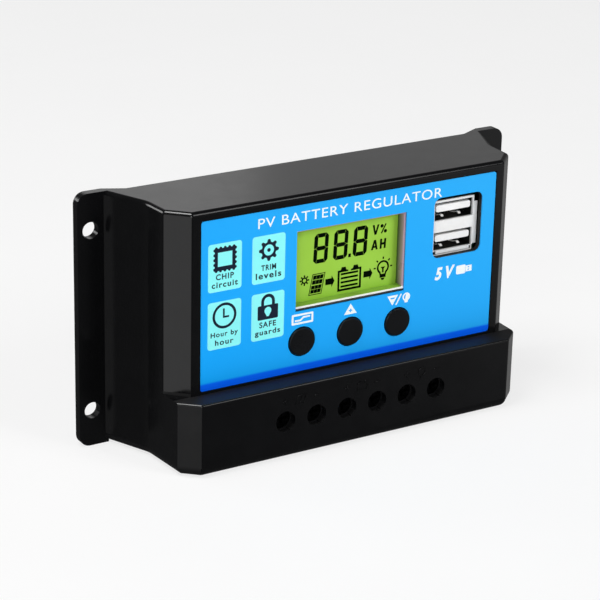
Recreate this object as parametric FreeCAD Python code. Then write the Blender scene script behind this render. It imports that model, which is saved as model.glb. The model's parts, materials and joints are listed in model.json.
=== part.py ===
"""A wall-mounted solar charge controller, in millimetres.

The origin is the centre of the four wall-screw holes, on the wall plane. +Z is up, +Y goes into the
wall and the front of the case faces -Y. Every piece is its own solid in its own node, and identical
pieces that never move against each other share a node.
"""
import FreeCAD, Part
import math
import os

V = FreeCAD.Vector

# ---- case, overall
case_width = 133.5          # over the two ears
case_height = 70.0
body_depth = 28.8           # wall to the main front face
terminal_step = 6.2         # how far the terminal section stands in front of the main face
terminal_height = 20.5      # height of the terminal section
wall = 2.0
far = 200.0                 # longer than the case in every direction, for through cuts

# ---- case, plan outline
ear_width = 7.55            # ear, from the foot of the flank to its outer edge
ear_thickness = 2.4
ear_corner = 3.0
flare = 5.3                 # how much the flanks spread towards the wall
knee_depth = 15.15          # distance from the wall at which the flanks stop spreading
flank_taper = 0.5
cheek = 5.4                 # 45 degree corner of the main body
terminal_cheek_width = 4.8
terminal_cheek_depth = 4.4
knee_round = 8.0
corner_round = 0.9
top_round = 1.2
bottom_round = 3.0
ledge_round = 0.6

# ---- wall screws
hole_spacing_x = 126.0
hole_spacing_z = 50.0
wall_hole = 4.5

# ---- back cover and its screws
cover_thickness = 2.9
cover_drop = 1.4            # the cover stops this far below the top and above the bottom of the case
cover_gap = 0.25
notch_half = 59.0           # half width of the cover's seat at the wall plane
notch_bevel = 6.0           # how much narrower the seat is at its floor
lip_length = 2.5
lip_thickness = 1.5
lip_from_post = 2.0
post_x = 46.5
post_inset_z = 7.0          # post centre, in from the top and bottom of the case
post_radius = 3.4
case_screw_shank = 1.5
case_screw_head = 2.7
case_screw_head_height = 1.6
case_screw_length = 12.0
head_sink = 1.8             # depth of the pocket that each rear screw head sits in
thread_gap = 0.05
shank_clearance = 0.2       # cover hole beyond the screw that passes through it
pan_round = 0.45            # pan heads: rounding and recess floor, as shares of the head's height
pan_recess_floor = 0.4
cross_reach = 0.62          # cross recess: half length and width, as shares of the head's radius
cross_width = 0.24
slot_width = 2.0
slot_length = 8.0
slot_round = 0.9
slot_pitch = 4.2
slot_count = 13
slot_beside_screws = 1.2    # the lower slots start this far above the line of the terminal screws

# ---- front label
label_recess = 0.5
label_thickness = 0.35
label_gap = 0.15
label_left = -45.3
label_right = 45.6
label_from_top = 2.7
label_above_ledge = 0.8
label_corner = 0.8

# ---- display
window_width = 34.0
window_height = 21.5
window_x = -0.1
window_from_top = 20.5      # window centre, below the top of the case
window_collar = 1.4
display_setback = 3.7       # glass, behind the front face
sill_round = 0.6            # rounded lower front edge of the window
glass_margin = 2.3          # glass beyond the window on each side
glass_thickness = 2.0
backlight_thickness = 2.6
backlight_margin = 1.2      # backlight beyond the window on each side
part_gap = 0.05             # air between stacked parts
spacer_wall = 1.8
lcd_pin_count = 14
lcd_pin_pitch = 2.54
pin_radius = 0.3
hole_margin = 0.2           # board hole beyond its pin
pin_stub = 1.4              # pin beyond the far side of the board

# ---- main board
board_setback = 13.6        # front of the board, behind the front face
board_thickness = 1.6
board_half = 49.0
board_from_top = 3.6
board_from_bottom = 4.0
post_clearance = 0.5
boss_radius = 2.8
board_bosses = ((-40.5, 10.5), (-40.5, 44.0), (40.5, 41.0))   # x, distance below the top
board_screw_shank = 1.2
board_screw_head = 2.3
board_screw_head_height = 1.5
board_screw_length = 7.0
board_screw_hole = 8.0      # depth of its hole, from the board

# ---- buttons and their switches
button_pitch = 15.0
button_from_top = 40.4
button_radius = 3.9
button_gap = 0.25
button_proud = 0.4
button_edge = 0.4
button_travel = 0.3
flange_radius = 5.2
flange_thickness = 1.0
flange_gap = 0.1
stem_radius = 3.0
stem_length = 2.2
plunger_radius = 1.7
plunger_socket = 2.6        # how deep the plunger reaches into its cap
plunger_fit = 0.05
switch_size = 6.0
switch_height = 3.5
switch_plate = 0.25
switch_well = 2.2           # depth of the well that the plunger moves in
switch_leg_x = 3.35
switch_leg_z = 2.25
dome_height = 0.3
dome_sheet = 0.1

# ---- usb sockets
usb_x = 33.6
usb_from_top = 16.0         # opening centre, below the top of the case
usb_opening_width = 15.7
usb_opening_height = 17.0
usb_opening_corner = 2.0
usb_behind_wall = 0.2       # socket lips, behind the inside of the front wall
usb_width = 13.1
usb_height = 15.6
usb_drop = 0.85             # socket pair, below the centre of its opening
usb_sheet = 0.3
usb_port_width = 12.5
usb_port_height = 5.12
usb_port_pitch = 8.4
usb_port_rise = 0.45        # pair of ports, above the middle of the socket
usb_port_depth = 8.5
usb_gap = 0.05
side_lip_width = 1.1
side_lip_height = 12.0
lip_sheet = 0.3
usb_corner_notch = 1.05     # lower corners cut from the socket's front, so its lower lip is narrower
usb_foot_gap = 0.6          # cut from the foot of the socket's front
tongue_width = 11.1
tongue_thickness = 1.84
tongue_round = 0.5
tongue_below_top = 0.9      # tongue, below the top of its port
tongue_setback = 0.4
contact_pitch = 2.3
contact_width = 1.0
contact_thickness = 0.15
contact_setback = 0.6       # contact strip, behind the tip of its tongue

# ---- terminals
pole_count = 6
pole_pitch = 9.5
pole_row_x = 0.48           # middle of the row
pole_z = 10.85              # screw axis, above the bottom of the case
driver_hole = 2.9           # radius of the screwdriver holes
block_wall = 1.2
block_gap = 0.3
block_front_gap = 0.3
block_height = 15.4
head_radius = 2.7
head_height = 1.9
head_play = 0.3
head_shoulder = 1.0
screw_radius = 2.0
screw_pitch = 0.7
screw_turns = 6
screw_fit = 0.06
recess_width = 0.9
recess_depth = 1.1
recess_length = 4.0
recess_short = 3.0          # the shorter arm of the cross recess
cage_wall = 0.9
cage_top = 2.2
cage_floor = 0.8
cage_length = 7.2
cage_gap = 0.25
closed_gap = 0.4            # jaw to bar when screwed right up
bar_thickness = 1.0
bar_gap = 0.2
bar_pin = 1.0               # width of the pins that go through the board
screw_end_gap = 0.1         # open jaw, from the tip of its screw
block_floor = 0.6
block_base = 2.2            # height of the block's underside wall
entry_width = 7.0
entry_depth = 5.8

# ---- power stage on the back of the board
spreader_half = 34.0
spreader_height = 27.0
spreader_thickness = 3.0
spreader_screw_x = 30.0
spreader_screw_z = -9.5
pad_thickness = 0.3
pad_margin = 1.5
transistor_pitch = 16.0
transistor_count = 4
transistor_width = 10.0
transistor_body = 9.0
transistor_thickness = 4.4
transistor_body_bottom = -9.0
tab_height = 6.3
tab_thickness = 1.3
tab_hole = 1.8
tab_hole_rise = 3.53        # hole, above the moulded body
tab_foot = 1.0              # body below the end of the tab
lead_pitch = 2.54
lead_width = 0.8
lead_thickness = 0.5
lead_drop = 3.0
lead_setback = 2.6          # lead, from the face of the tab
tab_screw_shank = 1.5
tab_screw_head = 2.8
tab_screw_head_height = 1.8

# ---- parts on the front of the board, as x and distance below the top of the case
capacitor_places = ((-33.0, 21.0), (-33.0, 34.0))
capacitor_radius = 4.0
capacitor_length = 10.0
seal_height = 1.4
seal_inset = 0.4
can_round = 0.5
capacitor_lead_pitch = 3.5
inductor_place = (33.5, 46.0)
inductor_radius = 4.6
inductor_neck = 2.4
inductor_height = 6.0
inductor_flange = 1.0
inductor_chamfer = 0.4
winding_inset = 0.7         # winding, inside the rims of the core
chip_size = 7.0
chip_thickness = 1.4
chip_place = (-10.0, 20.5)
chip_pins_per_side = 8
chip_pin_pitch = 0.8
chip_pin_width = 0.4
chip_standoff = 0.1
chip_dot = 0.5              # mark at the first pin
chip_dot_depth = 0.1
chip_dot_inset = 1.2
converter_size = (3.9, 4.9)
converter_thickness = 1.5
converter_beside_display = 5.9      # chip's middle, beyond the edge of the backlight
converter_from_top = 34.5
converter_pin_pitch = 1.27
converter_pin_width = 0.42
converter_pins_per_side = 4
foot_length = 1.0
foot_thickness = 0.2
crystal_place = (6.0, 20.5)
crystal_length = 10.5
crystal_width = 4.4
crystal_height = 3.4
crystal_round = 1.98
crystal_lead_reach = 2.4
diode_places = ((40.5, 33.5), (-40.5, 36.0))
diode_size = (2.7, 4.4)
diode_height = 2.3
diode_tab = 1.0
diode_tab_width = 1.62
shunt_places = (-4.0, 4.0)
shunt_radius = 0.75
shunt_span = 12.0
shunt_rise = 3.0
shunt_z = 12.5
small_parts_x = (-45.5, -26.5)
small_parts_from_top = 13.0
small_parts_pitch = 2.6
small_parts_count = 9
small_part_size = (2.0, 1.25)
resistor_height = 0.55
small_capacitor_height = 1.1

# ---- places that follow from the sizes above
half_height = case_height / 2
front = -body_depth
front_inside = front + wall
terminal_front = front - terminal_step
terminal_inside = terminal_front + wall
ledge = -half_height + terminal_height
foot_half = case_width / 2 - ear_width
flank_half = foot_half - flare
board_front = front + board_setback
board_back = board_front + board_thickness
label_bottom = ledge + label_above_ledge
label_top = half_height - label_from_top
window_z = half_height - window_from_top
button_z = half_height - button_from_top
usb_z = half_height - usb_from_top
usb_front = front_inside + usb_behind_wall
usb_socket_z = usb_z - usb_drop
glass_front = front + display_setback
backlight_front = glass_front + glass_thickness + part_gap
spacer_front = backlight_front + backlight_thickness + part_gap
post_z = half_height - post_inset_z
screw_z = -half_height + pole_z
button_places = [k * button_pitch for k in (-1, 0, 1)]
pole_places = [pole_row_x + (k - (pole_count - 1) / 2) * pole_pitch for k in range(pole_count)]
transistor_places = [(k - (transistor_count - 1) / 2) * transistor_pitch for k in range(transistor_count)]
spreader_front = -cover_thickness - spreader_thickness
backlight_edge = window_x + window_width / 2 + backlight_margin
converter_place = (backlight_edge + converter_beside_display, converter_from_top)
tab_face = spreader_front - pad_thickness

# ---- clamp travel, from the board outwards
cage_travel = screw_turns * screw_pitch
cell_width = pole_pitch - block_wall
cage_back = board_front - block_floor - bar_gap
jaw = cage_back - cage_floor
bar_back = jaw - cage_travel - closed_gap
bar_front = bar_back - bar_thickness
screw_tip = bar_front - bar_gap
cage_top_back = screw_tip - screw_end_gap
cage_front = cage_top_back - cage_top
block_front = terminal_inside + block_front_gap
head_seat = block_front + head_play + head_height
shoulder_back = head_seat + head_shoulder
block_bottom = -half_height + wall + block_gap
block_top = block_bottom + block_height
cell_bottom = block_bottom + block_base
cell_top = block_top - block_wall
cage_width = cell_width - 2 * cage_gap
cage_inside = cage_width - 2 * cage_wall
bar_width = cage_inside - 2 * bar_gap
bar_leg_top = cell_top - part_gap


# ---- plain shapes
def box(x0, x1, y0, y1, z0, z1):
    return Part.makeBox(x1 - x0, y1 - y0, z1 - z0, V(x0, y0, z0))


def slab(x, z, width, height, y0, y1):
    """A box centred on x and z, between two depths."""
    return box(x - width / 2, x + width / 2, y0, y1, z - height / 2, z + height / 2)


def rod(x, z, radius, y0, y1):
    """A cylinder along Y."""
    return Part.makeCylinder(radius, y1 - y0, V(x, y0, z), V(0, 1, 0))


def upright(x, y, radius, z0, z1):
    """A cylinder along Z."""
    return Part.makeCylinder(radius, z1 - z0, V(x, y, z0))


def joined(shapes):
    whole = shapes[0].multiFuse(shapes[1:]) if len(shapes) > 1 else shapes[0]
    return whole.removeSplitter()


def set_of(shapes):
    return Part.makeCompound(shapes)


def mirrored_outline(right_side):
    """A closed outline, from the points of its right side, listed from the wall to the front."""
    return right_side + [(-x, y) for x, y in reversed(right_side)]


def corner_points(before, corner, after, radius):
    """Start, middle and end of the arc that rounds one corner of an outline."""
    c = V(*corner, 0)
    to_before = (V(*before, 0) - c).normalize()
    to_after = (V(*after, 0) - c).normalize()
    half_angle = to_before.getAngle(to_after) / 2
    reach = radius / math.tan(half_angle)
    middle_reach = radius / math.sin(half_angle) - radius
    inward = (to_before + to_after).normalize()
    return c + to_before * reach, c + inward * middle_reach, c + to_after * reach


def prism(outline, z0, z1, rounds=None):
    """An upright prism. rounds gives a radius for each corner, and 0 leaves it sharp."""
    rounds = rounds or [0] * len(outline)
    edges = []
    stops = []
    for k, corner in enumerate(outline):
        if rounds[k] > 0:
            after = outline[(k + 1) % len(outline)]
            start, middle, end = corner_points(outline[k - 1], corner, after, rounds[k])
            stops.append((start, end))
            edges.append((k, Part.Arc(start, middle, end).toShape()))
        else:
            stops.append((V(*corner, 0), V(*corner, 0)))
    for k in range(len(outline)):
        line = Part.LineSegment(stops[k][1], stops[(k + 1) % len(outline)][0]).toShape()
        edges.append((k + 0.5, line))
    wire = Part.Wire([edge for place, edge in sorted(edges, key=lambda pair: pair[0])])
    solid = Part.Face(wire).extrude(V(0, 0, z1 - z0))
    solid.translate(V(0, 0, z0))
    return solid


def inset_outline(outline, distances):
    """The outline with each side moved inwards by its own distance. Sides run clockwise."""
    lines = []
    for k, start in enumerate(outline):
        end = outline[(k + 1) % len(outline)]
        along = (V(*end, 0) - V(*start, 0)).normalize()
        inward = V(along.y, -along.x, 0)
        lines.append((V(*start, 0) + inward * distances[k], along))
    corners = []
    for k, (point, along) in enumerate(lines):
        other, other_along = lines[k - 1]
        gap = point - other
        reach = (gap.x * along.y - gap.y * along.x) / (other_along.x * along.y - other_along.y * along.x)
        corners.append((other.x + other_along.x * reach, other.y + other_along.y * reach))
    return corners


def flat_edges(shape, z, keep):
    """The edges that lie at height z and pass a test on their middle point."""
    found = []
    for edge in shape.Edges:
        box_of = edge.BoundBox
        if abs(box_of.ZMin - z) < 0.01 and abs(box_of.ZMax - z) < 0.01:
            if keep(edge.valueAt((edge.FirstParameter + edge.LastParameter) / 2)):
                found.append(edge)
    return found


def rounded_slab(x, z, width, height, radius, y0, y1):
    """A slab whose four long edges, along Y, are rounded."""
    solid = slab(x, z, width, height, y0, y1)
    return solid.makeFillet(radius, [e for e in solid.Edges if e.BoundBox.YLength > (y1 - y0) * 0.9])


def countersunk_pocket(x, z, shank, head, y_floor):
    """A screw's clearance hole, with a round pocket for its head, cut from the wall side."""
    return rod(x, z, shank + shank_clearance, -far, far).fuse(rod(x, z, head + cover_gap, y_floor, far))


def pan_screw(x, z, shank, head, head_height, y_seat, length):
    """A pan-head screw driven from the wall side: its head is at y_seat and it points to the front."""
    head_part = rod(x, z, head, y_seat, y_seat + head_height)
    head_part = head_part.makeFillet(head_height * pan_round, [
        e for e in head_part.Edges if abs(e.BoundBox.YMin - y_seat - head_height) < 0.01 and e.Closed])
    screw = head_part.fuse(rod(x, z, shank, y_seat - length, y_seat))
    slot_floor = y_seat + head_height * pan_recess_floor
    arm, width = head * cross_reach, head * cross_width
    cross = slab(x, z, arm * 2, width, slot_floor, far).fuse(slab(x, z, width, arm * 2, slot_floor, far))
    return screw.cut(cross).removeSplitter()


# ---- case
def flank_x(y):
    """Half width of the flank in front of the knee."""
    return flank_half + (y + knee_depth) * flank_taper / (body_depth - cheek - knee_depth)


def body_outline():
    slope = flare / (knee_depth - ear_thickness)
    shoulder = front + cheek
    right = [(foot_half + slope * ear_thickness, 0), (flank_half, -knee_depth),
             (flank_x(shoulder), shoulder), (flank_x(shoulder) - cheek, front)]
    return mirrored_outline(right)


def terminal_outline():
    slope = flare / (knee_depth - ear_thickness)
    shoulder = terminal_front + terminal_cheek_depth
    right = [(foot_half + slope * ear_thickness, 0), (flank_half, -knee_depth),
             (flank_x(shoulder), shoulder), (flank_x(shoulder) - terminal_cheek_width, terminal_front)]
    return mirrored_outline(right)


def outer_body():
    """The outside of the case without its ears."""
    upper_rounds = [0, knee_round, corner_round, corner_round]
    upper = prism(body_outline(), ledge, half_height, upper_rounds + upper_rounds[::-1])
    upper = upper.makeFillet(top_round, flat_edges(upper, half_height, lambda p: p.y < -0.01))
    lower_rounds = [0, knee_round, 0, corner_round]
    lower = prism(terminal_outline(), -half_height, ledge, lower_rounds + lower_rounds[::-1])
    in_front = terminal_front + terminal_cheek_depth
    lower = lower.makeFillet(ledge_round, flat_edges(lower, ledge, lambda p: p.y < in_front))
    lower = lower.makeFillet(bottom_round, flat_edges(lower, -half_height, lambda p: p.y < -0.01))
    return joined([upper, lower])


def inner_space():
    """The hollow of the case, open towards the wall."""
    distances = [wall] * 7 + [-wall]
    upper = prism(inset_outline(body_outline(), distances), ledge - wall * 2, half_height - wall)
    lower = prism(inset_outline(terminal_outline(), distances), -half_height + wall, ledge - wall)
    return joined([upper, lower])


def ear(side):
    outer = case_width / 2
    plate = box(foot_half - wall / 2, outer, -ear_thickness, 0, -half_height, half_height)
    corners = [e for e in plate.Edges
               if e.BoundBox.YLength > ear_thickness / 2 and e.BoundBox.XMin > outer - 0.01]
    plate = plate.makeFillet(ear_corner, corners)
    for z in (-hole_spacing_z / 2, hole_spacing_z / 2):
        plate = plate.cut(rod(hole_spacing_x / 2, z, wall_hole / 2, -far, far))
    return plate if side > 0 else plate.mirror(V(0, 0, 0), V(1, 0, 0))


def cover_seat(clearance, low, high):
    """The wedge-sided slab that the back cover fills, between two heights."""
    rear = notch_half - clearance
    outline = [(rear, 0), (rear - notch_bevel, -cover_thickness),
               (-rear + notch_bevel, -cover_thickness), (-rear, 0)]
    return prism(outline, low, high)


def post_places():
    return [(x, z) for x in (-post_x, post_x) for z in (-post_z, post_z)]


def boss_places():
    return [(x, half_height - drop) for x, drop in board_bosses]


def wire_entry(x, width, depth_front, depth_back, low, high):
    return box(x - width / 2, x + width / 2, depth_front, depth_back, low, high)


def front_shell():
    outer = outer_body()
    hollow = inner_space()
    posts = [rod(x, z, post_radius, terminal_front, -cover_thickness) for x, z in post_places()]
    bosses = [rod(x, z, boss_radius, front, board_front) for x, z in boss_places()]
    collar = slab(window_x, window_z, window_width + 2 * window_collar, window_height + 2 * window_collar,
                  front, glass_front - part_gap)
    inside_parts = joined(posts + bosses + [collar]).common(outer)
    shell = joined([outer.cut(hollow), inside_parts, ear(1), ear(-1)])
    shell = shell.cut(cover_seat(0, -far, far))
    cuts = [slab((label_left + label_right) / 2, (label_bottom + label_top) / 2,
                 label_right - label_left + 2 * label_gap, label_top - label_bottom + 2 * label_gap,
                 front - 1, front + label_recess),
            slab(window_x, window_z, window_width, window_height, front - 1, board_front),
            rounded_slab(usb_x, usb_z, usb_opening_width, usb_opening_height, usb_opening_corner,
                         front - 1, board_front)]
    cuts += [rod(x, button_z, button_radius + button_gap, front - 1, board_front) for x in button_places]
    cuts += [rod(x, screw_z, driver_hole, terminal_front - 1, terminal_inside + 1) for x in pole_places]
    middle = (bar_back + jaw) / 2
    cuts += [wire_entry(x, entry_width, middle - entry_depth / 2, middle + entry_depth / 2,
                        -half_height - 1, -half_height + wall + 1) for x in pole_places]
    cuts += [rod(x, z, case_screw_shank + thread_gap, -cover_thickness - case_screw_length, 1)
             for x, z in post_places()]
    cuts += [rod(x, z, board_screw_shank + thread_gap, board_front - board_screw_hole, board_front + 1)
             for x, z in boss_places()]
    shell = shell.cut(set_of(cuts)).removeSplitter()
    return shell.makeFillet(sill_round, [e for e in shell.Edges if is_sill(e)])


def is_sill(edge):
    """The lower front edge of the window."""
    middle = edge.BoundBox.Center
    sill = V(window_x, front + label_recess, window_z - window_height / 2)
    return (middle - sill).Length < 0.01 and edge.BoundBox.XLength > window_width / 2


def back_cover():
    reach = half_height - cover_drop
    plate = cover_seat(cover_gap, -reach, reach)
    lip_half = post_x - post_radius - lip_from_post
    lip_top = half_height - wall - cover_gap
    lips = [box(-lip_half, lip_half, -cover_thickness - lip_length, -cover_thickness / 2,
                low, low + lip_thickness) for low in (lip_top - lip_thickness, -lip_top)]
    cover = joined([plate] + lips)
    cuts = [countersunk_pocket(x, z, case_screw_shank, case_screw_head, -head_sink) for x, z in post_places()]
    cuts += [countersunk_pocket(x, spreader_screw_z, tab_screw_shank, tab_screw_head, -head_sink)
             for x in (-spreader_screw_x, spreader_screw_x)]
    for side in (-1, 1):
        z = side * (-screw_z - slot_beside_screws - slot_length / 2)
        for k in range(slot_count):
            x = (k - (slot_count - 1) / 2) * slot_pitch
            cuts.append(rounded_slab(x, z, slot_width, slot_length, slot_round, -far, far))
    return cover.cut(set_of(cuts)).removeSplitter()


def case_screws():
    return set_of([pan_screw(x, z, case_screw_shank, case_screw_head, case_screw_head_height,
                             -head_sink, case_screw_length) for x, z in post_places()])


def front_label():
    face = rounded_slab((label_left + label_right) / 2, (label_bottom + label_top) / 2,
                        label_right - label_left, label_top - label_bottom, label_corner,
                        front + label_recess - label_thickness, front + label_recess)
    cuts = [slab(window_x, window_z - sill_round / 2, window_width, window_height + sill_round, -far, far),
            rounded_slab(usb_x, usb_z, usb_opening_width, usb_opening_height, usb_opening_corner, -far, far)]
    cuts += [rod(x, button_z, button_radius + button_gap, -far, far) for x in button_places]
    return face.cut(set_of(cuts))


# ---- display
def glass_slab(margin, y0, y1):
    return slab(window_x, window_z, window_width + 2 * margin, window_height + 2 * margin, y0, y1)


def lcd_glass():
    return glass_slab(glass_margin, glass_front, glass_front + glass_thickness)


def lcd_backlight():
    return glass_slab(backlight_margin, backlight_front, backlight_front + backlight_thickness)


def lcd_spacer():
    frame = glass_slab(backlight_margin, spacer_front, board_front)
    return frame.cut(glass_slab(backlight_margin - spacer_wall, -far, far))


def lcd_pin_places():
    z = window_z + window_height / 2 + glass_margin + pin_radius + part_gap
    return [(window_x + (k - (lcd_pin_count - 1) / 2) * lcd_pin_pitch, z) for k in range(lcd_pin_count)]


def lcd_pins():
    pins = [rod(x, z, pin_radius, glass_front + glass_thickness / 4, board_back + pin_stub)
            for x, z in lcd_pin_places()]
    return set_of(pins)


# ---- buttons
def button_cap(x):
    face = front - button_proud
    flange_back = front_inside + flange_gap + flange_thickness
    stem_end = flange_back + stem_length
    top = rod(x, button_z, button_radius, face, flange_back)
    rim = [e for e in top.Edges if e.Closed and abs(e.BoundBox.YMax - face) < 0.01]
    top = top.makeFillet(button_edge, rim)
    flange = rod(x, button_z, flange_radius, front_inside + flange_gap, flange_back)
    stem = rod(x, button_z, stem_radius, front_inside, stem_end)
    socket = rod(x, button_z, plunger_radius + plunger_fit, stem_end - plunger_socket, far)
    return joined([top, flange, stem]).cut(socket)


def switch_plunger(x):
    cap_stem_end = front_inside + flange_gap + flange_thickness + stem_length
    foot = board_front - switch_height + switch_well - dome_height - button_travel
    return rod(x, button_z, plunger_radius, cap_stem_end - plunger_socket, foot)


def switch_bodies():
    bodies = []
    for x in button_places:
        body = slab(x, button_z, switch_size, switch_size, board_front - switch_height, board_front)
        well = rod(x, button_z, plunger_radius + button_gap, -far, board_front - switch_height + switch_well)
        bodies.append(body.cut(well))
    return set_of(bodies)


def switch_plates():
    y1 = board_front - switch_height
    return set_of([slab(x, button_z, switch_size, switch_size, y1 - switch_plate, y1)
                   .cut(rod(x, button_z, plunger_radius + button_gap, -far, far)) for x in button_places])


def switch_domes():
    """Snap domes: shallow shells of a large ball, standing on the floor of each switch's well."""
    floor = board_front - switch_height + switch_well
    ball = (plunger_radius ** 2 + dome_height ** 2) / (2 * dome_height)
    domes = []
    for x in button_places:
        centre = V(x, floor - dome_height + ball, button_z)
        shell = Part.makeSphere(ball, centre).cut(Part.makeSphere(ball - dome_sheet, centre))
        domes.append(shell.common(rod(x, button_z, plunger_radius, floor - dome_height - 1, floor)))
    return set_of(domes)


def switch_leg_places():
    return [(x + dx, button_z + dz) for x in button_places
            for dx in (-switch_leg_x, switch_leg_x) for dz in (-switch_leg_z, switch_leg_z)]


def switch_legs():
    return set_of([rod(x, z, pin_radius, board_front - switch_height / 2, board_back + pin_stub)
                   for x, z in switch_leg_places()])


# ---- usb sockets
def usb_ports():
    middle = usb_socket_z + usb_port_rise
    return [middle + usb_port_pitch / 2, middle - usb_port_pitch / 2]


def usb_shell():
    """A folded sheet box around both ports, with the port tubes and the flared lips on its front."""
    outside = slab(usb_x, usb_socket_z, usb_width, usb_height, usb_front, board_front)
    hollow = slab(usb_x, usb_socket_z, usb_width - 2 * usb_sheet, usb_height - 2 * usb_sheet,
                  usb_front + usb_sheet, board_front + 1)
    back = usb_front + usb_port_depth
    pieces = [outside.cut(hollow)]
    pieces += [slab(usb_x, z, usb_port_width + 2 * usb_sheet, usb_port_height + 2 * usb_sheet,
                    usb_front, back) for z in usb_ports()]
    side_reach = usb_width / 2 + side_lip_width / 2
    pieces += [slab(usb_x + side * side_reach, usb_socket_z, side_lip_width, side_lip_height,
                    usb_front, usb_front + lip_sheet) for side in (-1, 1)]
    shell = joined(pieces)
    for z in usb_ports():
        shell = shell.cut(slab(usb_x, z, usb_port_width, usb_port_height, -far, back + 1))
    low = usb_socket_z - usb_height / 2
    lip_top = usb_ports()[1] - usb_port_height / 2
    for side in (-1, 1):
        corner = usb_x + side * usb_width / 2
        shell = shell.cut(box(corner - usb_corner_notch, corner + usb_corner_notch,
                              -far, usb_front + lip_sheet, low - 1, lip_top))
    foot = box(usb_x - side_reach - side_lip_width, usb_x + side_reach + side_lip_width,
               -far, usb_front + lip_sheet, low - 1, low + usb_foot_gap)
    return shell.cut(foot).removeSplitter()


def tongue_tops():
    return [z + usb_port_height / 2 - tongue_below_top for z in usb_ports()]


def usb_insulator():
    back = usb_front + usb_port_depth
    body = slab(usb_x, usb_socket_z, usb_width - 2 * usb_sheet - 2 * usb_gap,
                usb_height - 2 * usb_sheet - 2 * usb_gap, back + usb_gap, board_front)
    tongues = [rounded_slab(usb_x, top - tongue_thickness / 2, tongue_width, tongue_thickness, tongue_round,
                            usb_front + tongue_setback, back + 1) for top in tongue_tops()]
    return joined([body] + tongues)


def usb_contact_places():
    return [(usb_x + (k - 1.5) * contact_pitch, top) for top in tongue_tops() for k in range(4)]


def usb_contacts():
    """Strips under each tongue, and the pins below the board. What the insulator hides is left out."""
    contacts = []
    for x, top in usb_contact_places():
        low = top - tongue_thickness - contact_thickness
        contacts.append(box(x - contact_width / 2, x + contact_width / 2,
                            usb_front + tongue_setback + contact_setback, usb_front + usb_port_depth,
                            low, low + contact_thickness))
        contacts.append(rod(x, top, pin_radius, board_front, board_back + pin_stub))
    return set_of(contacts)


# ---- terminals
def bar_leg_z():
    return bar_leg_top - bar_thickness / 2


def terminal_block(first):
    """A two-pole block with a cell, a screw hole and a wire entry for each pole."""
    centres = pole_places[first:first + 2]
    left = centres[0] - pole_pitch / 2
    right = centres[1] + pole_pitch / 2
    block = box(left + part_gap, right - part_gap, block_front, board_front, block_bottom, block_top)
    cuts = []
    for x in centres:
        cuts.append(box(x - cell_width / 2, x + cell_width / 2, shoulder_back, board_front - block_floor,
                        cell_bottom, cell_top))
        cuts.append(rod(x, screw_z, head_radius + cage_gap, block_front - 1, head_seat))
        cuts.append(rod(x, screw_z, screw_radius + cage_gap, block_front - 1, shoulder_back + 1))
        cuts.append(wire_entry(x, cage_inside, bar_back, jaw, block_bottom - 1, cell_bottom + 1))
        cuts.append(slab(x, bar_leg_z(), bar_width + part_gap, bar_thickness + part_gap,
                         board_front - block_floor - 1, board_front + 1))
    return block.cut(set_of(cuts)).removeSplitter()


def terminal_screw(x):
    head_front = head_seat - head_height
    under_head = head_seat - part_gap
    head = rod(x, screw_z, head_radius, head_front - part_gap, under_head)
    shank = rod(x, screw_z, screw_radius, under_head, screw_tip)
    recess_floor = head_front - part_gap + recess_depth
    cross = slab(x, screw_z, recess_length, recess_width, -far, recess_floor)
    cross = cross.fuse(slab(x, screw_z, recess_width, recess_short, -far, recess_floor))
    return head.fuse(shank).cut(cross).removeSplitter()


def clamp_cage(x):
    """The moving jaw: a square tube around the bar, threaded on the screw through its top."""
    low = screw_z - cage_length / 2
    outside = box(x - cage_width / 2, x + cage_width / 2, cage_front, cage_back, low, low + cage_length)
    inside = box(x - cage_inside / 2, x + cage_inside / 2, cage_top_back, jaw, low - 1, low + cage_length + 1)
    return outside.cut(inside).cut(rod(x, screw_z, screw_radius + screw_fit, -far, cage_top_back + 1))


def terminal_bars():
    bars = []
    for x in pole_places:
        blade = box(x - bar_width / 2, x + bar_width / 2, bar_front, bar_back, cell_bottom, bar_leg_top)
        leg = box(x - bar_width / 2, x + bar_width / 2, bar_front, board_front,
                  bar_leg_top - bar_thickness, bar_leg_top)
        pins = [slab(x + dx, bar_leg_z(), bar_pin, bar_thickness, board_front - bar_pin / 2,
                     board_back + pin_stub) for dx in (-bar_width / 4, bar_width / 4)]
        bars.append(joined([blade, leg] + pins))
    return set_of(bars)


# ---- board and what stands on its back
def transistor_lead_places():
    return [(x + dx * lead_pitch, transistor_body_bottom - lead_drop + lead_thickness / 2)
            for x in transistor_places for dx in (-1, 0, 1)]


def shunt_ends():
    return [(x, shunt_z + dz) for x in shunt_places for dz in (-shunt_span / 2, shunt_span / 2)]


def capacitor_lead_places():
    return [(x + dx, half_height - drop) for x, drop in capacitor_places
            for dx in (-capacitor_lead_pitch / 2, capacitor_lead_pitch / 2)]


def crystal_lead_places():
    x, drop = crystal_place
    return [(x + dx, half_height - drop) for dx in (-crystal_lead_reach, crystal_lead_reach)]


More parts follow.
